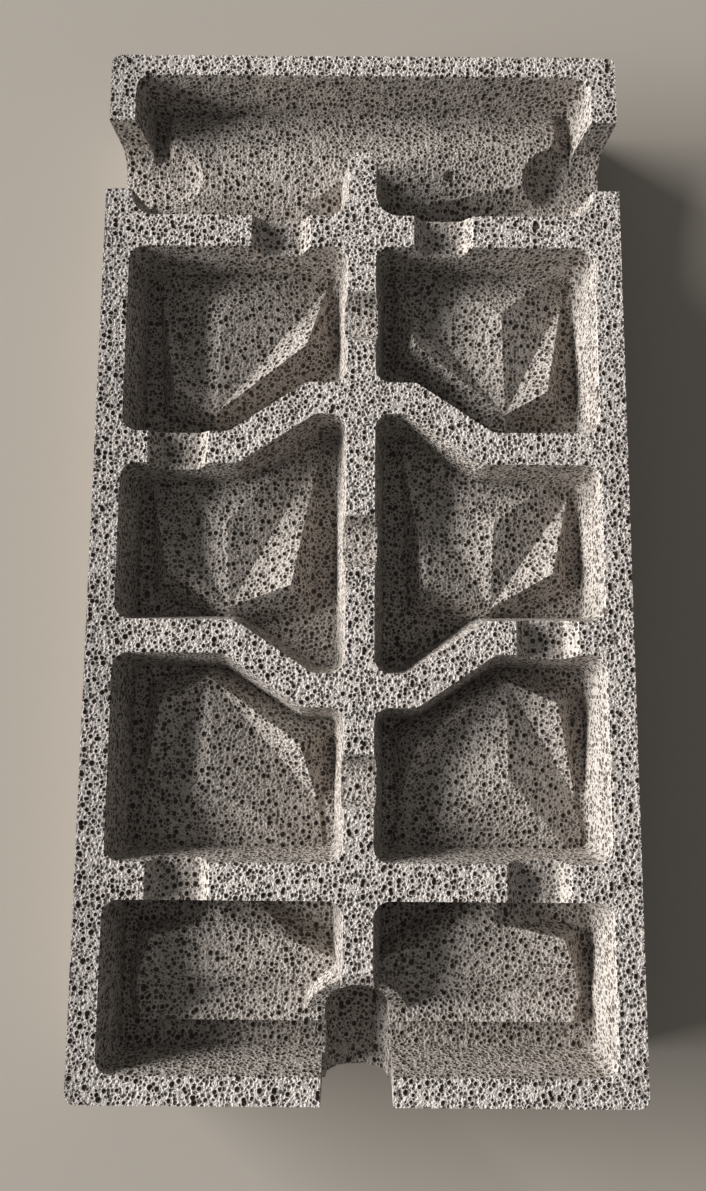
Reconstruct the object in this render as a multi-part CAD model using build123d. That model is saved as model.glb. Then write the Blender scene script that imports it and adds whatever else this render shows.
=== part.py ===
# Ribbed concrete block, cast in one piece, lying with its open side up.
# X runs across the block, Y along it to the channel end and Z up. The origin
# is the middle of the underside, and all lengths are in millimetres.
import os
from math import atan2, radians, tan

from build123d import *

# Outside of the block, measured at the rim
WIDTH = 200.0
LENGTH = 393.0
HEIGHT = 45.0
OUTER_DRAFT = 5.0
OUTER_CORNER = 4.0
FOOT_ROUND = 2.0

# Walls and ribs, measured at the rim
SIDE_WALL = 10.0
FAR_WALL = 8.5
FRONT_WALL = 9.5
SPINE = 10.6
CROSS_RIB = 12.8
ZIGZAG_RIB = 12.2

# Rib lines, as shares of half the length or half the width
CROSS_RIB_SHARE = 0.622
ZIGZAG_OUTER_SHARE = 0.181
ZIGZAG_INNER_SHARE = 0.280
BEND_INNER_SHARE = 0.19
BEND_OUTER_SHARE = 0.48
SPINE_FAR_SHARE = 0.79
SPINE_FRONT_SHARE = 0.825

# Pockets between the ribs
POCKET_DEPTH = 22.0
POCKET_DRAFT = 10.0
POCKET_CORNER = 6.0
CHANNEL_CORNER = 9.0
SPINE_TIP_SHARE = 0.4

# Saddles in the ribs, and the ramp where the spine ends at the slot
SADDLE_DEPTH = 6.0
SADDLE_LENGTH = 23.0
SPINE_SADDLE_LENGTH = 20.0
SADDLE_ANGLE = 55.0
SADDLE_ROUND = 3.0
RAMP_ANGLE = 28.0
RAMP_SHARE = 0.778

# Slot through the front wall, and the collar round its closed end
SLOT_WIDTH = 25.0
SLOT_REACH = 39.5
SLOT_DEPTH = 33.0
SLOT_DRAFT = 3.0
SLOT_FLOOR_ROUND = 9.0
COLLAR = 1.5
COLLAR_DRAFT = 15.0
COLLAR_ANGLE = 45.0

# Notches through both side walls of the channel
NOTCH_WIDTH = 29.0
NOTCH_REACH = 36.0
NOTCH_DEPTH = 23.0
NOTCH_DRAFT = 4.0
NOTCH_FLOOR_ROUND = 9.0
NOTCH_SHARE = 0.783

# Largest air bubble that stands open in the cast surface
BUBBLE = 5.0
BUBBLE_DEPTH_SHARE = 0.45
BUBBLE_FLOOR_SHARE = 0.3

# Reach of cutting bodies past what they cut
OVERRUN = 8.0
# Depth of an island's root below the pocket floor
ROOT = 3.0

HALF_WIDTH = WIDTH / 2
HALF_LENGTH = LENGTH / 2
INNER_X = SPINE / 2
OUTER_X = HALF_WIDTH - SIDE_WALL
CROSS_Y = CROSS_RIB_SHARE * HALF_LENGTH
CROSS_NEAR_Y = CROSS_Y - CROSS_RIB / 2
CROSS_FAR_Y = CROSS_Y + CROSS_RIB / 2
CHANNEL_Y = HALF_LENGTH - FAR_WALL
FRONT_Y = HALF_LENGTH - FRONT_WALL
ZIGZAG_OUTER_Y = ZIGZAG_OUTER_SHARE * HALF_LENGTH
ZIGZAG_INNER_Y = ZIGZAG_INNER_SHARE * HALF_LENGTH
BEND_INNER_X = BEND_INNER_SHARE * HALF_WIDTH
BEND_OUTER_X = BEND_OUTER_SHARE * HALF_WIDTH
ZIGZAG_TURN = atan2(ZIGZAG_INNER_Y - ZIGZAG_OUTER_Y, BEND_OUTER_X - BEND_INNER_X)
MITRE = ZIGZAG_RIB / 2 * tan(ZIGZAG_TURN / 2)

# Corners of the islands on the +X side, by letter in order round the edge: place
# across as a share of half the width, place along as a share of the pocket's
# length, depth as a share of the pocket's depth, and the run of the cliff below
# the corner as a share of its drop. The peak inside the edge has no cliff.
FAR_ROW_SHARES = {
    "a": (0.12, 1.08, 0.97, 0.7),
    "b": (0.142, 0.904, 0.95, 0.7),
    "c": (0.215, 0.52, 0.46, 1.0),
    "d": (0.566, 0.16, 0.64, 1.0),
    "e": (0.726, 0.273, 0.50, 0.9),
    "f": (0.81, 0.834, 0.95, 0.7),
    "g": (0.86, 1.08, 0.97, 0.7),
    "peak": (0.553, 0.72, 0.58, 0.0),
}
MIDDLE_ROW_SHARES = {
    "a": (0.12, 1.40, 0.97, 0.7),
    "b": (0.165, 1.154, 0.95, 0.7),
    "c": (0.261, 0.244, 0.45, 1.0),
    "d": (0.497, 0.108, 0.64, 1.0),
    "e": (0.732, 0.332, 0.50, 0.9),
    "f": (0.815, 0.864, 0.95, 0.7),
    "g": (0.86, 1.10, 0.97, 0.7),
    "peak": (0.512, 0.665, 0.57, 0.0),
}
FRONT_ROW_SHARES = {
    "a": (0.12, 1.08, 0.97, 0.7),
    "b": (0.154, 0.73, 0.95, 0.7),
    "c": (0.22, 0.44, 0.46, 1.0),
    "d": (0.555, 0.123, 0.64, 1.0),
    "e": (0.74, 0.234, 0.50, 0.9),
    "f": (0.815, 0.695, 0.95, 0.7),
    "g": (0.86, 1.08, 0.97, 0.7),
    "peak": (0.553, 0.608, 0.59, 0.0),
}
# The front island is a long hollow between two ridges.
FRONT_END_SHARES = {
    "a": (-0.03, 0.60, 0.80, 0.7),
    "b": (-0.03, 0.46, 0.66, 0.7),
    "c": (0.202, 0.306, 0.60, 0.8),
    "d": (0.49, 0.16, 0.60, 2.0),
    "e": (0.746, 0.255, 0.56, 0.8),
    "f": (0.79, 0.46, 0.68, 0.7),
    "g": (0.81, 0.60, 0.86, 0.7),
    "h": (0.775, 0.752, 0.64, 0.7),
    "i": (-0.03, 0.752, 0.64, 0.7),
}
# The channel island is a shelf that falls to the far wall.
CHANNEL_END_SHARES = {
    "a": (-0.03, 0.52, 0.66, 0.7),
    "b": (0.24, 0.235, 0.78, 2.0),
    "c": (0.68, 0.40, 0.72, 2.0),
    "d": (0.785, 0.72, 0.70, 0.7),
    "e": (0.80, 1.06, 0.97, 0.7),
    "f": (-0.03, 1.06, 0.97, 0.7),
}
# Facets on top of the islands, by the names of their corners
PEAKED_FACETS = ["a b peak", "b c d", "b d peak", "peak d f", "f d e", "peak f g", "a peak g"]
FRONT_FACETS = ["b c d", "b d f", "d e f", "a b f", "a f g", "a g h", "a h i"]
CHANNEL_FACETS = ["a b c", "a c d", "a d f", "d e f"]

# Saddles across the cross ribs: rib line as a share of half the length, and
# place as a share of half the width
CROSS_SADDLE_SHARES = [
    (CROSS_RIB_SHARE, -0.315),
    (CROSS_RIB_SHARE, 0.315),
    (ZIGZAG_OUTER_SHARE, -0.685),
    (-ZIGZAG_OUTER_SHARE, 0.685),
    (-CROSS_RIB_SHARE, -0.639),
    (-CROSS_RIB_SHARE, 0.639),
]
# Saddles across the spine, as shares of half the length
SPINE_SADDLE_SHARES = [-0.446, 0, 0.446]
# Large bubbles: places as shares of half the width, half the length and the
# pocket's depth, and width of the mouth as a share of the largest one's
BUBBLE_SHARES = [
    (0.354, 0.789, 0.697, 1.0),
    (0.677, 0.637, 0.0, 0.7),
    (0.256, -0.092, 0.607, 0.6),
    (0.529, -0.045, 0.645, 0.5),
    (-0.189, -0.400, 0.652, 0.5),
    (-0.159, 0.480, 0.806, 0.5),
]

RIM_PLANE = Plane.XY.offset(HEIGHT)


def outer_block():
    """Solid block that narrows to its rounded underside."""
    inset = 2 * HEIGHT * tan(radians(OUTER_DRAFT))
    foot = RectangleRounded(WIDTH - inset, LENGTH - inset, OUTER_CORNER)
    rim = RIM_PLANE * RectangleRounded(WIDTH, LENGTH, OUTER_CORNER)
    block = loft([foot, rim], ruled=True)
    return fillet(block.faces().sort_by(Axis.Z)[0].edges(), FOOT_ROUND)


def sunk(outline, depth, draft):
    """Hollow that narrows down from its outline at the rim."""
    return extrude(RIM_PLANE * outline, amount=depth, dir=(0, 0, -1), taper=draft)


def both_sides(shape):
    """A shape on the +X side and its mirror image."""
    return [shape, mirror(shape, about=Plane.YZ)]


def zigzag_edge(side):
    """One edge of the zigzag rib, from the side wall in to the spine."""
    reach = side * ZIGZAG_RIB / 2
    return [
        (OUTER_X, ZIGZAG_OUTER_Y + reach),
        (BEND_OUTER_X + side * MITRE, ZIGZAG_OUTER_Y + reach),
        (BEND_INNER_X + side * MITRE, ZIGZAG_INNER_Y + reach),
        (INNER_X, ZIGZAG_INNER_Y + reach),
    ]


def island(corner_shares, facets, start_y, end_y):
    """Faceted hump that stands on a pocket floor, with cliffs round its edge."""
    root_z = HEIGHT - POCKET_DEPTH - ROOT
    tops = {}
    for name, (across, along, down, run) in corner_shares.items():
        y = start_y + along * (end_y - start_y)
        tops[name] = Vector(across * HALF_WIDTH, y, HEIGHT - down * POCKET_DEPTH)
    middle = sum(tops.values(), Vector(0, 0, 0)) / len(tops)
    feet = {}
    for name, (across, along, down, run) in corner_shares.items():
        if name == "peak":
            continue
        top = tops[name]
        outward = Vector(top.X - middle.X, top.Y - middle.Y, 0).normalized()
        foot = top + outward * (top.Z - root_z) * run
        feet[name] = Vector(foot.X, foot.Y, root_z)
    polygons = [[tops[name] for name in facet.split()] for facet in facets]
    edge = list(feet)
    for here, after in zip(edge, edge[1:] + edge[:1]):
        polygons.append([tops[here], feet[here], feet[after]])
        polygons.append([tops[here], feet[after], tops[after]])
    polygons.append([feet[name] for name in reversed(edge)])
    return Solid(Shell([Face(Wire.make_polygon(polygon)) for polygon in polygons]))


def row_hollow(corner_shares):
    """Pocket between a cross rib and a zigzag rib, less its island."""
    corners = zigzag_edge(1) + [(INNER_X, CROSS_NEAR_Y), (OUTER_X, CROSS_NEAR_Y)]
    outline = fillet(make_face(Polyline(*corners, close=True)).vertices(), POCKET_CORNER)
    start_y = ZIGZAG_OUTER_Y + ZIGZAG_RIB / 2
    hump = island(corner_shares, PEAKED_FACETS, start_y, CROSS_NEAR_Y)
    return sunk(outline, POCKET_DEPTH, POCKET_DRAFT) - hump


def middle_hollow():
    """Pocket between the two zigzag ribs, less its island."""
    upper = zigzag_edge(-1)
    lower = [(x, -y) for x, y in reversed(upper)]
    outline = fillet(make_face(Polyline(*upper, *lower, close=True)).vertices(), POCKET_CORNER)
    end_y = ZIGZAG_OUTER_Y - ZIGZAG_RIB / 2
    hump = island(MIDDLE_ROW_SHARES, PEAKED_FACETS, -end_y, end_y)
    return sunk(outline, POCKET_DEPTH, POCKET_DRAFT) - hump


def end_hollow(wall_y, spine_y, near_corner, corner_shares, facets):
    """Pocket across the whole block round the end of the spine, less its islands."""
    near_y = CROSS_FAR_Y if wall_y > 0 else -CROSS_FAR_Y
    half = [(INNER_X, spine_y), (INNER_X, near_y), (OUTER_X, near_y), (OUTER_X, wall_y)]
    other_half = [(-x, y) for x, y in reversed(half)]
    outline = make_face(Polyline(*half, *other_half, close=True))
    outline = fillet(outline.vertices().group_by(Axis.Y)[1], SPINE_TIP_SHARE * SPINE)
    near_vertices = [vertex for vertex in outline.vertices() if vertex.Y == near_y]
    outline = fillet(near_vertices, near_corner)
    far_vertices = [vertex for vertex in outline.vertices() if vertex.Y == wall_y]
    outline = fillet(far_vertices, POCKET_CORNER)
    humps = both_sides(island(corner_shares, facets, near_y, wall_y))
    return sunk(outline, POCKET_DEPTH, POCKET_DRAFT) - humps


def saddle(length, rib):
    """Dip across a rib that runs along Y, with sloping rounded ends."""
    run = 1 / tan(radians(SADDLE_ANGLE))
    top = length / 2 + OVERRUN * run
    floor = length / 2 - SADDLE_DEPTH * run
    corners = [(-top, OVERRUN), (top, OVERRUN), (floor, -SADDLE_DEPTH), (-floor, -SADDLE_DEPTH)]
    profile = make_face(Polyline(*corners, close=True))
    profile = fillet(profile.vertices().group_by(Axis.Y)[0], SADDLE_ROUND)
    return extrude(Plane.YZ * profile, amount=rib / 2 + OVERRUN, both=True)


def slot_outline(width, reach):
    """Outline of a round-ended slot from an outer face in along Y."""
    round_end = width / 2
    straight = reach - round_end
    outline = Pos(0, (straight - OVERRUN) / 2) * Rectangle(width, straight + OVERRUN)
    return outline + Pos(0, straight) * Circle(round_end)


def round_slot(width, reach, depth, draft, floor_round):
    """Round-ended slot with a rounded floor."""
    slot = sunk(slot_outline(width, reach), depth, draft)
    floor_edges = slot.faces().sort_by(Axis.Z)[0].edges().sort_by(Axis.Y)[1:]
    return fillet(floor_edges, floor_round)


def front_slot():
    """Slot through the front wall to the end of the spine."""
    slot = round_slot(SLOT_WIDTH, SLOT_REACH, SLOT_DEPTH, SLOT_DRAFT, SLOT_FLOOR_ROUND)
    return Pos(0, -HALF_LENGTH) * slot


def ramp(reach, angle):
    """Wedge of air over the end of the spine, where it slopes down to the slot."""
    start_y = -RAMP_SHARE * HALF_LENGTH
    end_y = -HALF_LENGTH - OVERRUN
    drop = (start_y - end_y) * tan(radians(angle))
    corners = [(start_y, HEIGHT), (end_y, HEIGHT), (end_y, HEIGHT - drop)]
    return extrude(Plane.YZ * make_face(Polyline(*corners, close=True)), amount=reach, both=True)


def slot_collar():
    """Bell-shaped collar round the slot, which slopes down with the end of the spine."""
    outline = Pos(0, -HALF_LENGTH) * slot_outline(SLOT_WIDTH + 2 * COLLAR, SLOT_REACH + COLLAR)
    return sunk(outline, POCKET_DEPTH + ROOT, -COLLAR_DRAFT) - ramp(SLOT_WIDTH, COLLAR_ANGLE)


def side_notch():
    """Notch through the +X side wall of the channel and into the end of its shelf."""
    notch = round_slot(NOTCH_WIDTH, NOTCH_REACH, NOTCH_DEPTH, NOTCH_DRAFT, NOTCH_FLOOR_ROUND)
    return Pos(HALF_WIDTH, NOTCH_SHARE * HALF_LENGTH) * Rot(Z=90) * notch


def bubble(mouth):
    """Air bubble that stands open, the middle of its mouth at the origin."""
    floor = BUBBLE_FLOOR_SHARE * mouth
    return Cone(floor, mouth - floor, 2 * BUBBLE_DEPTH_SHARE * mouth)


far_row = row_hollow(FAR_ROW_SHARES)
front_row = mirror(row_hollow(FRONT_ROW_SHARES), about=Plane.XZ)
channel_spine_y = SPINE_FAR_SHARE * HALF_LENGTH
front_spine_y = -SPINE_FRONT_SHARE * HALF_LENGTH
hollows = both_sides(far_row) + both_sides(middle_hollow()) + both_sides(front_row)
hollows.append(end_hollow(CHANNEL_Y, channel_spine_y, CHANNEL_CORNER, CHANNEL_END_SHARES, CHANNEL_FACETS))
front_hollow = end_hollow(-FRONT_Y, front_spine_y, POCKET_CORNER, FRONT_END_SHARES, FRONT_FACETS)
hollows.append(front_hollow - slot_collar())

dips = []
for rib_share, place_share in CROSS_SADDLE_SHARES:
    rib = CROSS_RIB if abs(rib_share) == CROSS_RIB_SHARE else ZIGZAG_RIB
    middle = Pos(place_share * HALF_WIDTH, rib_share * HALF_LENGTH, HEIGHT)
    dips.append(middle * Rot(Z=-90) * saddle(SADDLE_LENGTH, rib))
for place_share in SPINE_SADDLE_SHARES:
    dips.append(Pos(0, place_share * HALF_LENGTH, HEIGHT) * saddle(SPINE_SADDLE_LENGTH, SPINE))

bubbles = []
for across, along, down, size_share in BUBBLE_SHARES:
    place = Pos(across * HALF_WIDTH, along * HALF_LENGTH, HEIGHT - down * POCKET_DEPTH)
    bubbles.append(place * bubble(size_share * BUBBLE))

cuts = both_sides(side_notch()) + [ramp(SLOT_WIDTH / 2, RAMP_ANGLE), front_slot()]
block = outer_block() - hollows - dips - cuts - bubbles

os.makedirs("parts", exist_ok=True)
export_step(block, "parts/block.step")
print("solids", len(block.solids()), "volume", round(block.volume), "box", block.bounding_box().size)
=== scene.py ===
import bmesh
import bpy
import math
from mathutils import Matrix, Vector


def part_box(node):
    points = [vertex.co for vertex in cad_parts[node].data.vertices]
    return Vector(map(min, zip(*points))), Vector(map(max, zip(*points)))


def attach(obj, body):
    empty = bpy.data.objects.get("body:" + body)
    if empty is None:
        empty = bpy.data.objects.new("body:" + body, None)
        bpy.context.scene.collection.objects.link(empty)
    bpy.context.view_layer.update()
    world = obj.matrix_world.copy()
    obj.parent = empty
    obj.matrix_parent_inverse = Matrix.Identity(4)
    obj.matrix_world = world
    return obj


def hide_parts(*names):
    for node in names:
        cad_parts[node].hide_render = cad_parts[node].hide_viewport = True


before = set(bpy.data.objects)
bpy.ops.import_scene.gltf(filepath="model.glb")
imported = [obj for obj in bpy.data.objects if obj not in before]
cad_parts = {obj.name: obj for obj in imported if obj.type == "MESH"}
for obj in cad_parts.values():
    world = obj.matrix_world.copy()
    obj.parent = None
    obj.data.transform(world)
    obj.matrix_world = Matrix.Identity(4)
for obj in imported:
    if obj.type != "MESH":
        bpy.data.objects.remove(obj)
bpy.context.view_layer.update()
low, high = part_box("block")
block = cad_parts["block"]
scene = bpy.context.scene
MM = 0.001

# Foam of the concrete: size of its large and small cells, and the smallest and
# largest radius as shares of that
LARGE_CELLS = (2.5 * MM, 0.28, 0.5)
SMALL_CELLS = (1.4 * MM, 0.36, 0.6)
CELL_JITTER = 0.85

# Large cells that are cut open in the casting: smallest radius at the mouth, the share
# that is cut on faces that don't look up, and the pits' shape
RIM_MOUTH = 0.5 * MM
POCKET_MOUTH = 0.72 * MM
OUTSIDE_SHARE = 0.06
RIM_PORE_SIDES = 5
POCKET_PORE_SIDES = 4
PORE_DEPTH_SHARE = 1.4
PORE_LIFT_SHARE = 0.3
PORE_STRETCH = 0.12

# Points strewn on the casting to find the cells that it cuts
STREWN_PER_AREA = 1.6 / MM ** 2
STREWN_SEED = 3
SAME_CELL = 0.01 * MM

# A point this near the rim's height lies on the rim, and a face with more lift looks up
RIM_BAND = 0.05 * MM
LOOKS_UP = 0.02

# Edges of the casting sharper than this stay crisp
CRISP_ANGLE = math.radians(12)

# Mean pore mark of an edge's faces, above which all of them, or any, are in a pore
ALL_IN_PORE = 0.99
ANY_IN_PORE = 0.01

# Corners of the casting this near each other are one
SAME_POINT = 0.001 * MM


def link_chain(tree, *pairs):
    """Join node sockets two by two."""
    for start, end in pairs:
        tree.links.new(start, end)


def value_math(tree, operation, first, second=None, third=None, clamp=False):
    """Math node whose inputs are sockets or numbers; gives its output socket."""
    node = tree.nodes.new("ShaderNodeMath")
    node.operation = operation
    node.use_clamp = clamp
    for socket, value in zip(node.inputs, (first, second, third)):
        if value is None:
            continue
        if isinstance(value, (int, float)):
            socket.default_value = value
        else:
            tree.links.new(value, socket)
    return node.outputs[0]


def new_tree(name, kind, inputs, outputs):
    """Node group with named sockets, and its input and output nodes."""
    tree = bpy.data.node_groups.new(name, kind)
    for socket_name, socket_type in inputs:
        tree.interface.new_socket(socket_name, in_out="INPUT", socket_type=socket_type)
    for socket_name, socket_type in outputs:
        tree.interface.new_socket(socket_name, in_out="OUTPUT", socket_type=socket_type)
    return tree, tree.nodes.new("NodeGroupInput"), tree.nodes.new("NodeGroupOutput")


def ramp_between(tree, value, start, end, to_start=0.0, to_end=1.0):
    """Smooth step of a value between two limits; gives its output socket."""
    node = tree.nodes.new("ShaderNodeMapRange")
    node.interpolation_type = "SMOOTHSTEP"
    limits = {"From Min": start, "From Max": end, "To Min": to_start, "To Max": to_end}
    for name, number in limits.items():
        node.inputs[name].default_value = number
    tree.links.new(value, node.inputs["Value"])
    return node.outputs[0]


# Concrete

# Distances from a hollow's edge, below zero outside it: where its painted shade is full, where
# its lip of painted highlight begins and is full, and how near the small cells come
HOLLOW_SHADE_FULL = 0.15 * MM
HIGHLIGHT_BEGINS = -0.42 * MM
HIGHLIGHT_FULL = -0.14 * MM
SMALL_CELLS_FULL = -0.28 * MM
SMALL_CELLS_END = -0.1 * MM

# Reach of a cell's dip, as a share of the cell's size
DIP_REACH = 0.65

CAST_SKIN = (0.52, 0.467, 0.417)
PALER_RIM = (0.66, 0.601, 0.552)
# Painted shade in the hollows of the foam cells
PAINTED_HOLLOW_SHADE = (0.07, 0.058, 0.049)
# Painted shade that darkens the cut pits, more on the rim
POCKET_PIT_SHADE = (0.46, 0.43, 0.40)
RIM_PIT_SHADE = (0.34, 0.31, 0.29)

# Depth below the rim at which its paler colour begins and is full
PALER_BEGINS = 1.6 * MM
PALER_FULL = 0.3 * MM

# Blotches and sand grains of the cast surface: size, detail, the part of the noise that
# counts and how high they stand
BLOTCH_SIZE = 16 * MM
BLOTCH_DETAIL = 3.0
BLOTCH_RANGE = (0.3, 0.7)
BLOTCH_HEIGHT = 1.4 * MM
SAND_SIZE = 0.9 * MM
SAND_DETAIL = 2.0
SAND_COARSENESS = 0.7
SAND_RANGE = (0.25, 0.75)
SAND_HEIGHT = 0.7 * MM

# Shades that the colours are multiplied by: random blotches and sand, the painted highlight on
# the hollows' lips, a ceiling, and painted shade on the left edge of the rim
BLOTCH_SHADES = (-0.09, 0.09)
SAND_SHADES = (0.8, 1.1)
BETWEEN_CELLS_SHADE = 0.7
LIP_HIGHLIGHT = 0.62
PALEST_SHADE = 1.15
LEFT_EDGE_SHADE = 0.3
LEFT_EDGE_WIDTH = 40 * MM

# How far a hollow goes to its colour of painted shade, and how much further on the rim
HOLLOW_SHADE_SHARE = 0.72
RIM_HOLLOW_SHADE_SHARE = 0.17

# Roughness over the sand grains, and a low sheen
ROUGHNESS = (0.8, 0.96)
ROUGHNESS_RANGE = (0.2, 0.8)
SHEEN = 0.25


def foam_cell(tree, place, size, small_share, large_share):
    """Foam cell that holds a place: its Voronoi node, in cell sizes, and its radius share."""
    scaled = tree.nodes.new("ShaderNodeVectorMath")
    scaled.operation = "SCALE"
    scaled.inputs["Scale"].default_value = 1 / size
    cells = tree.nodes.new("ShaderNodeTexVoronoi")
    cells.inputs["Scale"].default_value = 1
    cells.inputs["Randomness"].default_value = CELL_JITTER
    draw = tree.nodes.new("ShaderNodeSeparateXYZ")
    link_chain(
        tree,
        (place, scaled.inputs[0]),
        (scaled.outputs[0], cells.inputs["Vector"]),
        (cells.outputs["Color"], draw.inputs[0]),
    )
    spread = large_share - small_share
    return cells, value_math(tree, "MULTIPLY_ADD", draw.outputs[0], spread, small_share)


def foam_cells(name, size, small_share, large_share):
    """Shader group: hollows of one class of cells, which take painted shade, the lips round them,
    which take a painted highlight, and their depth.
    """
    tree, given, result = new_tree(
        name, "ShaderNodeTree",
        [("Vector", "NodeSocketVector")],
        [
            ("Hollow", "NodeSocketFloat"),
            ("Clear", "NodeSocketFloat"),
            ("Highlight Lip", "NodeSocketFloat"),
            ("Depth", "NodeSocketFloat"),
        ],
    )
    cells, radius = foam_cell(tree, given.outputs["Vector"], size, small_share, large_share)
    distance = cells.outputs["Distance"]
    inside = value_math(tree, "SUBTRACT", radius, distance)
    hollow = ramp_between(tree, inside, 0.0, HOLLOW_SHADE_FULL / size)
    clear = ramp_between(tree, inside, SMALL_CELLS_FULL / size, SMALL_CELLS_END / size, 1.0, 0.0)
    beside = ramp_between(tree, inside, HIGHLIGHT_BEGINS / size, HIGHLIGHT_FULL / size)
    highlight_lip = value_math(tree, "MULTIPLY", beside, value_math(tree, "SUBTRACT", 1.0, hollow))
    dip = value_math(tree, "MAXIMUM", value_math(tree, "SUBTRACT", DIP_REACH, distance), 0.0)
    depth = value_math(tree, "MULTIPLY", dip, size)
    link_chain(
        tree,
        (hollow, result.inputs["Hollow"]),
        (clear, result.inputs["Clear"]),
        (highlight_lip, result.inputs["Highlight Lip"]),
        (depth, result.inputs["Depth"]),
    )
    return tree


def foam_node(tree, place, name, cell_class):
    """Node of one class of foam cells in a material."""
    node = tree.nodes.new("ShaderNodeGroup")
    node.node_tree = foam_cells(name, *cell_class)
    tree.links.new(place, node.inputs["Vector"])
    return node


def noise(tree, vector, size, detail, coarseness=0.5):
    """Noise texture with features of about one size; gives its value socket."""
    node = tree.nodes.new("ShaderNodeTexNoise")
    node.inputs["Scale"].default_value = 1 / size
    node.inputs["Detail"].default_value = detail
    node.inputs["Roughness"].default_value = coarseness
    tree.links.new(vector, node.inputs["Vector"])
    return node.outputs[0]


def colour_mix(tree, blend, factor, first, second):
    """Colour mix node whose inputs are sockets, numbers or colours; gives its output socket."""
    node = tree.nodes.new("ShaderNodeMix")
    node.data_type = "RGBA"
    node.blend_type = blend
    for index, value in ((0, factor), (6, first), (7, second)):
        if isinstance(value, (int, float)):
            node.inputs[index].default_value = value
        elif isinstance(value, tuple):
            node.inputs[index].default_value = (*value, 1)
        else:
            tree.links.new(value, node.inputs[index])
    return node.outputs[2]


def foamed_concrete():
    """Cast foamed concrete: paler on the rim, greyer below, full of cells, with painted shade in
    its hollows and pits and on the rim's left edge, and a painted highlight on the hollows' lips.
    """
    material = bpy.data.materials.new("foamed concrete")
    material.use_nodes = True
    tree = material.node_tree
    shader = tree.nodes["Principled BSDF"]
    place = tree.nodes.new("ShaderNodeTexCoord").outputs["Object"]
    large = foam_node(tree, place, "large_cells", LARGE_CELLS)
    small = foam_node(tree, place, "small_cells", SMALL_CELLS)
    cut = tree.nodes.new("ShaderNodeAttribute")
    cut.attribute_name = "pore"
    uncut = value_math(tree, "SUBTRACT", 1.0, cut.outputs["Fac"], clamp=True)
    between_large = large.outputs["Clear"]
    small_hollow = value_math(tree, "MULTIPLY", small.outputs["Hollow"], between_large)
    hollow = value_math(tree, "MAXIMUM", large.outputs["Hollow"], small_hollow)
    hollow = value_math(tree, "MULTIPLY", hollow, uncut)
    small_highlight_lip = value_math(tree, "MULTIPLY", small.outputs["Highlight Lip"], between_large)
    highlight_lip = value_math(tree, "MAXIMUM", large.outputs["Highlight Lip"], small_highlight_lip)

    axes = tree.nodes.new("ShaderNodeSeparateXYZ")
    tree.links.new(place, axes.inputs[0])
    rim = ramp_between(tree, axes.outputs["Z"], high.z - PALER_BEGINS, high.z - PALER_FULL)
    blotch = noise(tree, place, BLOTCH_SIZE, BLOTCH_DETAIL)
    sand = noise(tree, place, SAND_SIZE, SAND_DETAIL, SAND_COARSENESS)
    colour = colour_mix(tree, "MIX", rim, CAST_SKIN, PALER_RIM)
    shade = value_math(
        tree, "ADD",
        ramp_between(tree, blotch, *BLOTCH_RANGE, *BLOTCH_SHADES),
        ramp_between(tree, sand, *SAND_RANGE, *SAND_SHADES),
    )
    # Painted highlight: the lips round the hollows are paler than the rest of the surface between
    # the cells
    highlight_lip_shade = value_math(tree, "MULTIPLY_ADD", highlight_lip, LIP_HIGHLIGHT, BETWEEN_CELLS_SHADE)
    shade = value_math(tree, "MULTIPLY", shade, highlight_lip_shade)
    # Painted shade: the rim darkens towards its left edge
    inner_end = low.x + LEFT_EDGE_WIDTH
    left_edge = ramp_between(tree, axes.outputs["X"], low.x, inner_end, LEFT_EDGE_SHADE, 0.0)
    left_edge_shaded = value_math(tree, "SUBTRACT", 1.0, value_math(tree, "MULTIPLY", left_edge, rim))
    shade = value_math(tree, "MULTIPLY", shade, left_edge_shaded)
    shade = value_math(tree, "MINIMUM", shade, PALEST_SHADE)
    tinted = tree.nodes.new("ShaderNodeVectorMath")
    tinted.operation = "SCALE"
    link_chain(tree, (colour, tinted.inputs[0]), (shade, tinted.inputs["Scale"]))
    # Painted shade: the hollows go towards a dark colour, further on the rim
    hollow_shade_share = value_math(tree, "MULTIPLY_ADD", rim, RIM_HOLLOW_SHADE_SHARE, HOLLOW_SHADE_SHARE)
    hollow_shade = value_math(tree, "MULTIPLY", hollow, hollow_shade_share)
    inner = colour_mix(tree, "MIX", hollow_shade, tinted.outputs[0], PAINTED_HOLLOW_SHADE)
    # Painted shade: the faces of the cut pits are darkened, more on the rim
    pit_shade = colour_mix(tree, "MIX", rim, POCKET_PIT_SHADE, RIM_PIT_SHADE)
    colour = colour_mix(tree, "MULTIPLY", cut.outputs["Fac"], inner, pit_shade)
    tree.links.new(colour, shader.inputs["Base Color"])
    rough = ramp_between(tree, sand, *ROUGHNESS_RANGE, *ROUGHNESS)
    tree.links.new(rough, shader.inputs["Roughness"])
    shader.inputs["Specular IOR Level"].default_value = SHEEN

    dip = value_math(tree, "MULTIPLY", small.outputs["Depth"], between_large)
    dip = value_math(tree, "MULTIPLY", dip, uncut)
    grain = value_math(tree, "MULTIPLY", sand, SAND_HEIGHT)
    swell = value_math(tree, "MULTIPLY", blotch, BLOTCH_HEIGHT)
    surface = value_math(tree, "SUBTRACT", value_math(tree, "ADD", grain, swell), dip)
    bump = tree.nodes.new("ShaderNodeBump")
    bump.inputs["Strength"].default_value = 1
    bump.inputs["Distance"].default_value = 1
    link_chain(tree, (surface, bump.inputs["Height"]), (bump.outputs[0], shader.inputs["Normal"]))
    return material


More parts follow.
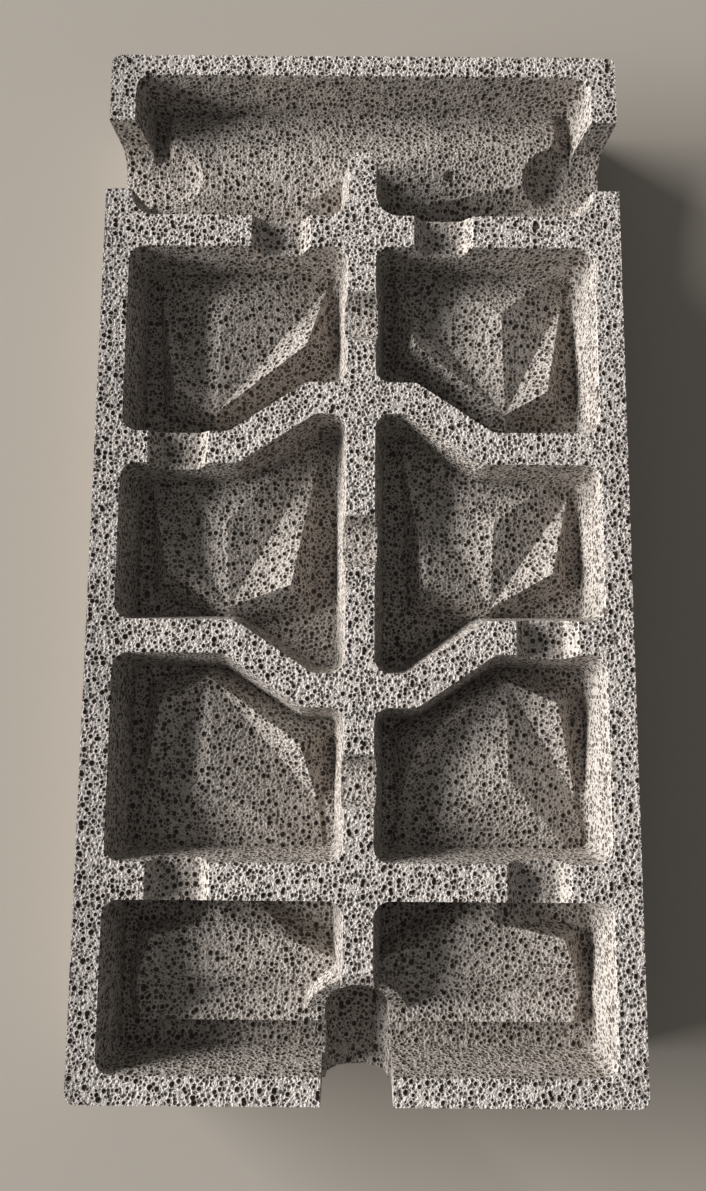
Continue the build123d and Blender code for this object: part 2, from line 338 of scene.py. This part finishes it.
def cast_blank():
    """Copy of the CAD block as one closed mesh, with no normals of its own."""
    cast = bpy.data.meshes.new("block_cast")
    work = bmesh.new()
    work.from_mesh(block.data)
    bmesh.ops.remove_doubles(work, verts=work.verts, dist=SAME_POINT)
    corners = [tuple(vertex.co) for vertex in work.verts]
    faces = [[vertex.index for vertex in face.verts] for face in work.faces]
    work.free()
    cast.from_pydata(corners, [], faces)
    piece = bpy.data.objects.new("block_cast", cast)
    scene.collection.objects.link(piece)
    return piece


def stored(tree, geometry, name, kind, value):
    """Geometry whose points carry a named value."""
    node = tree.nodes.new("GeometryNodeStoreNamedAttribute")
    node.data_type = kind
    node.domain = "POINT"
    node.inputs["Name"].default_value = name
    link_chain(tree, (geometry, node.inputs["Geometry"]), (value, node.inputs["Value"]))
    return node.outputs[0]


def recalled(tree, name, kind):
    """Named value that geometry carries."""
    node = tree.nodes.new("GeometryNodeInputNamedAttribute")
    node.data_type = kind
    node.inputs["Name"].default_value = name
    return node.outputs["Attribute"]


def moved(tree, geometry, place):
    """Points at new places."""
    node = tree.nodes.new("GeometryNodeSetPosition")
    link_chain(tree, (geometry, node.inputs["Geometry"]), (place, node.inputs["Position"]))
    return node.outputs[0]


def open_cells(tree, casting):
    """A point for each foam cell that the surface cuts, with its mouth's radius and facing."""
    strewn = tree.nodes.new("GeometryNodeDistributePointsOnFaces")
    strewn.inputs["Density"].default_value = STREWN_PER_AREA
    strewn.inputs["Seed"].default_value = STREWN_SEED
    tree.links.new(casting, strewn.inputs["Mesh"])
    facing = strewn.outputs["Normal"]
    points = stored(tree, strewn.outputs["Points"], "facing", "FLOAT_VECTOR", facing)
    here = tree.nodes.new("GeometryNodeInputPosition").outputs[0]
    cell_size = LARGE_CELLS[0]
    cells, radius = foam_cell(tree, here, *LARGE_CELLS)
    middle = tree.nodes.new("ShaderNodeVectorMath")
    middle.operation = "SCALE"
    middle.inputs["Scale"].default_value = cell_size
    tree.links.new(cells.outputs["Position"], middle.inputs[0])
    points = moved(tree, points, middle.outputs[0])
    merged = tree.nodes.new("GeometryNodeMergeByDistance")
    merged.inputs["Distance"].default_value = SAME_CELL
    tree.links.new(points, merged.inputs["Geometry"])
    nearest = tree.nodes.new("GeometryNodeProximity")
    nearest.target_element = "FACES"
    tree.links.new(casting, nearest.inputs[0])
    radius = value_math(tree, "MULTIPLY", radius, cell_size)
    off = nearest.outputs["Distance"]
    left = value_math(
        tree, "SUBTRACT",
        value_math(tree, "MULTIPLY", radius, radius),
        value_math(tree, "MULTIPLY", off, off),
    )
    mouth = value_math(tree, "SQRT", value_math(tree, "MAXIMUM", left, 0.0))
    points = stored(tree, merged.outputs[0], "mouth", "FLOAT", mouth)
    return moved(tree, points, nearest.outputs["Position"])


def marked(tree, mesh):
    """Mesh whose faces carry the pore mark that the concrete reads."""
    node = tree.nodes.new("GeometryNodeStoreNamedAttribute")
    node.data_type = "FLOAT"
    node.domain = "FACE"
    node.inputs["Name"].default_value = "pore"
    node.inputs["Value"].default_value = 1
    tree.links.new(mesh, node.inputs["Geometry"])
    return node.outputs[0]


def pore_shape(tree, sides):
    """Pointed pit with its mouth a little above zero, to be sized by its radius there."""
    cone = tree.nodes.new("GeometryNodeMeshCone")
    cone.inputs["Vertices"].default_value = sides
    cone.inputs["Radius Top"].default_value = 1 + PORE_LIFT_SHARE / PORE_DEPTH_SHARE
    cone.inputs["Radius Bottom"].default_value = 0
    cone.inputs["Depth"].default_value = PORE_DEPTH_SHARE + PORE_LIFT_SHARE
    lowered = tree.nodes.new("GeometryNodeTransform")
    lowered.inputs["Translation"].default_value = (0, 0, -PORE_DEPTH_SHARE)
    tree.links.new(cone.outputs["Mesh"], lowered.inputs["Geometry"])
    return marked(tree, lowered.outputs[0])


def uneven(tree, radius, seed):
    """Scale of a pore that is a little longer one way than the other."""
    stretch = tree.nodes.new("FunctionNodeRandomValue")
    stretch.data_type = "FLOAT_VECTOR"
    stretch.inputs[0].default_value = [1 - PORE_STRETCH] * 3
    stretch.inputs[1].default_value = [1 + PORE_STRETCH] * 3
    stretch.inputs["Seed"].default_value = seed
    sized = tree.nodes.new("ShaderNodeVectorMath")
    sized.operation = "SCALE"
    link_chain(tree, (stretch.outputs[0], sized.inputs[0]), (radius, sized.inputs["Scale"]))
    return sized.outputs[0]


def upright(tree, facing):
    """Turn that stands a pore on the surface and spins it by chance; gives its socket."""
    nodes = tree.nodes
    aligned = nodes.new("FunctionNodeAlignRotationToVector")
    aligned.axis = "Z"
    tree.links.new(facing, aligned.inputs["Vector"])
    spin = nodes.new("FunctionNodeRandomValue")
    spin.data_type = "FLOAT"
    spin.inputs[3].default_value = math.tau
    turn = nodes.new("ShaderNodeCombineXYZ")
    tree.links.new(spin.outputs[1], turn.inputs["Z"])
    turned = nodes.new("FunctionNodeRotateRotation")
    turned.rotation_space = "LOCAL"
    link_chain(
        tree,
        (aligned.outputs[0], turned.inputs[0]),
        (turn.outputs[0], turned.inputs[1]),
    )
    return turned.outputs[0]


def places_to_cut(tree, given, facing, mouth):
    """Which cells are cut open: on the rim, and below it where they are wide enough."""
    nodes = tree.nodes
    facing_axes = nodes.new("ShaderNodeSeparateXYZ")
    tree.links.new(facing, facing_axes.inputs[0])
    place = nodes.new("ShaderNodeSeparateXYZ")
    tree.links.new(nodes.new("GeometryNodeInputPosition").outputs[0], place.inputs[0])
    below_rim = value_math(tree, "SUBTRACT", given.outputs["Rim Height"], place.outputs["Z"])
    on_rim = value_math(tree, "LESS_THAN", below_rim, RIM_BAND)
    below = value_math(tree, "SUBTRACT", 1.0, on_rim)
    looks_up = value_math(tree, "GREATER_THAN", facing_axes.outputs["Z"], LOOKS_UP)
    wide = value_math(tree, "GREATER_THAN", mouth, given.outputs["Pocket Mouth"])
    chance = nodes.new("FunctionNodeRandomValue")
    chance.data_type = "FLOAT"
    kept = value_math(tree, "LESS_THAN", chance.outputs[1], given.outputs["Outside Share"])
    kept = value_math(tree, "MULTIPLY", value_math(tree, "MAXIMUM", kept, looks_up), wide)
    wide_on_rim = value_math(tree, "GREATER_THAN", mouth, given.outputs["Rim Mouth"])
    on_rim = value_math(tree, "MULTIPLY", on_rim, wide_on_rim)
    return on_rim, value_math(tree, "MULTIPLY", below, kept)


def crisp_casting(tree, mesh):
    """Casting that is smooth in its pores and over gentle edges, and crisp elsewhere."""
    nodes = tree.nodes
    mark = recalled(tree, "pore", "FLOAT")
    angle = nodes.new("GeometryNodeInputMeshEdgeAngle").outputs["Unsigned Angle"]
    in_pore = value_math(tree, "GREATER_THAN", mark, ALL_IN_PORE)
    at_mouth = value_math(tree, "GREATER_THAN", mark, ANY_IN_PORE)
    gentle = value_math(tree, "LESS_THAN", angle, CRISP_ANGLE)
    on_cast = value_math(tree, "MULTIPLY", gentle, value_math(tree, "SUBTRACT", 1.0, at_mouth))
    smooth = value_math(tree, "MAXIMUM", in_pore, on_cast)
    shaded = nodes.new("GeometryNodeSetShadeSmooth")
    shaded.domain = "EDGE"
    link_chain(tree, (mesh, shaded.inputs[0]), (smooth, shaded.inputs["Shade Smooth"]))
    return shaded.outputs[0]


def pore_tree(material):
    """Geometry Nodes tree that cuts a casting's larger foam cells open, most on its rim."""
    tree, given, result = new_tree(
        "cut_pores", "GeometryNodeTree",
        [
            ("Casting", "NodeSocketGeometry"),
            ("Rim Height", "NodeSocketFloat"),
            ("Rim Mouth", "NodeSocketFloat"),
            ("Pocket Mouth", "NodeSocketFloat"),
            ("Outside Share", "NodeSocketFloat"),
        ],
        [("Casting", "NodeSocketGeometry")],
    )
    nodes = tree.nodes
    casting = given.outputs["Casting"]
    points = open_cells(tree, casting)
    facing = recalled(tree, "facing", "FLOAT_VECTOR")
    mouth = recalled(tree, "mouth", "FLOAT")
    on_rim, below = places_to_cut(tree, given, facing, mouth)
    turn = upright(tree, facing)

    cutters = []
    for where, sides in ((on_rim, RIM_PORE_SIDES), (below, POCKET_PORE_SIDES)):
        instances = nodes.new("GeometryNodeInstanceOnPoints")
        link_chain(
            tree,
            (points, instances.inputs["Points"]),
            (where, instances.inputs["Selection"]),
            (pore_shape(tree, sides), instances.inputs["Instance"]),
            (turn, instances.inputs["Rotation"]),
            (uneven(tree, mouth, sides), instances.inputs["Scale"]),
        )
        cleared = instances.outputs[0]
        for name in ("facing", "mouth"):
            remove = nodes.new("GeometryNodeRemoveAttribute")
            remove.inputs["Name"].default_value = name
            tree.links.new(cleared, remove.inputs["Geometry"])
            cleared = remove.outputs[0]
        cutters.append(cleared)

    cut = nodes.new("GeometryNodeMeshBoolean")
    cut.operation = "DIFFERENCE"
    cut.solver = "MANIFOLD"
    tree.links.new(casting, cut.inputs["Mesh 1"])
    for cutter in cutters:
        tree.links.new(cutter, cut.inputs["Mesh 2"])

    realized = nodes.new("GeometryNodeRealizeInstances")
    finished = nodes.new("GeometryNodeSetMaterial")
    finished.inputs["Material"].default_value = material
    link_chain(
        tree,
        (crisp_casting(tree, cut.outputs["Mesh"]), realized.inputs[0]),
        (realized.outputs[0], finished.inputs["Geometry"]),
        (finished.outputs[0], result.inputs["Casting"]),
    )
    return tree


def without_crumbs(mesh):
    """Take off the small loose bits that neighbouring pits leave between them."""
    work = bmesh.new()
    work.from_mesh(mesh)
    seen = set()
    lumps = []
    for first in work.verts:
        if first in seen:
            continue
        seen.add(first)
        lump = [first]
        for vertex in lump:
            for edge in vertex.link_edges:
                other = edge.other_vert(vertex)
                if other not in seen:
                    seen.add(other)
                    lump.append(other)
        lumps.append(lump)
    casting = max(lumps, key=len)
    crumbs = [vertex for lump in lumps if lump is not casting for vertex in lump]
    bmesh.ops.delete(work, geom=crumbs, context="VERTS")
    work.to_mesh(mesh)
    work.free()


def pored_block(material):
    """The block as it looks: the casting with its pores cut, as one plain mesh."""
    casting = cast_blank()
    pores = casting.modifiers.new("pores", "NODES")
    pores.node_group = pore_tree(material)
    sizes = {
        "Rim Height": high.z,
        "Rim Mouth": RIM_MOUTH,
        "Pocket Mouth": POCKET_MOUTH,
        "Outside Share": OUTSIDE_SHARE,
    }
    for socket in pores.node_group.interface.items_tree:
        if socket.name in sizes:
            pores[socket.identifier] = sizes[socket.name]
    view = bpy.context.evaluated_depsgraph_get()
    mesh = bpy.data.meshes.new_from_object(casting.evaluated_get(view), depsgraph=view)
    mesh.name = "block_concrete"
    without_crumbs(mesh)
    piece = bpy.data.objects.new("block_concrete", mesh)
    scene.collection.objects.link(piece)
    bpy.data.objects.remove(casting)
    return piece


concrete = foamed_concrete()
piece = pored_block(concrete)
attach(piece, "root")
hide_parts("block")

# Floor
FLOOR_SIZE = 4.0
FLOOR_COLOUR = (0.43, 0.387, 0.333, 1)


def pale_floor():
    """Plain pale floor under the block."""
    mesh = bpy.data.meshes.new("floor")
    half = FLOOR_SIZE / 2
    corners = [(-half, -half, 0), (half, -half, 0), (half, half, 0), (-half, half, 0)]
    mesh.from_pydata(corners, [], [(0, 1, 2, 3)])
    floor = bpy.data.objects.new("floor", mesh)
    scene.collection.objects.link(floor)
    material = bpy.data.materials.new("floor")
    material.use_nodes = True
    shader = material.node_tree.nodes["Principled BSDF"]
    shader.inputs["Base Color"].default_value = FLOOR_COLOUR
    shader.inputs["Roughness"].default_value = 1
    mesh.materials.append(material)


# Light
LIGHT_AZIMUTH = math.radians(171)
LIGHT_ELEVATION = math.radians(20)
LIGHT_DISTANCE = 8.0
LIGHT_WIDTH = 8.0
LIGHT_HEIGHT = 2.4
LIGHT_POWER = 1600
ROOM_LIGHT = 0.16


def studio_light():
    """One broad soft light from the left, and an even room light."""
    lamp_data = bpy.data.lights.new("soft_box", "AREA")
    lamp_data.shape = "RECTANGLE"
    lamp_data.size = LIGHT_WIDTH
    lamp_data.size_y = LIGHT_HEIGHT
    lamp_data.energy = LIGHT_POWER
    lamp = bpy.data.objects.new("soft_box", lamp_data)
    way = Vector((
        math.cos(LIGHT_AZIMUTH) * math.cos(LIGHT_ELEVATION),
        math.sin(LIGHT_AZIMUTH) * math.cos(LIGHT_ELEVATION),
        math.sin(LIGHT_ELEVATION),
    ))
    lamp.location = way * LIGHT_DISTANCE
    lamp.rotation_mode = "QUATERNION"
    lamp.rotation_quaternion = (-way).to_track_quat("-Z", "Y")
    scene.collection.objects.link(lamp)
    world = bpy.data.worlds.new("room")
    world.use_nodes = True
    background = world.node_tree.nodes["Background"]
    background.inputs["Color"].default_value = (1, 1, 1, 1)
    background.inputs["Strength"].default_value = ROOM_LIGHT
    scene.world = world


# Camera
CAMERA_ACROSS = -2.15 * MM
CAMERA_ALONG = -66.97 * MM
CAMERA_ABOVE_RIM = 337.65 * MM
CAMERA_TURNS = (7.8575, 0.0106, 0.4251)
CAMERA_LENS = 28.11
CAMERA_SENSOR = 36


def photo_camera():
    """Camera that looks down on the block as the photograph does."""
    data = bpy.data.cameras.new("camera")
    data.lens = CAMERA_LENS
    data.sensor_width = CAMERA_SENSOR
    camera = bpy.data.objects.new("camera", data)
    camera.location = (CAMERA_ACROSS, CAMERA_ALONG, high.z + CAMERA_ABOVE_RIM)
    camera.rotation_euler = [math.radians(angle) for angle in CAMERA_TURNS]
    scene.collection.objects.link(camera)
    scene.camera = camera


pale_floor()
studio_light()
photo_camera()
scene.view_settings.view_transform = "Standard"
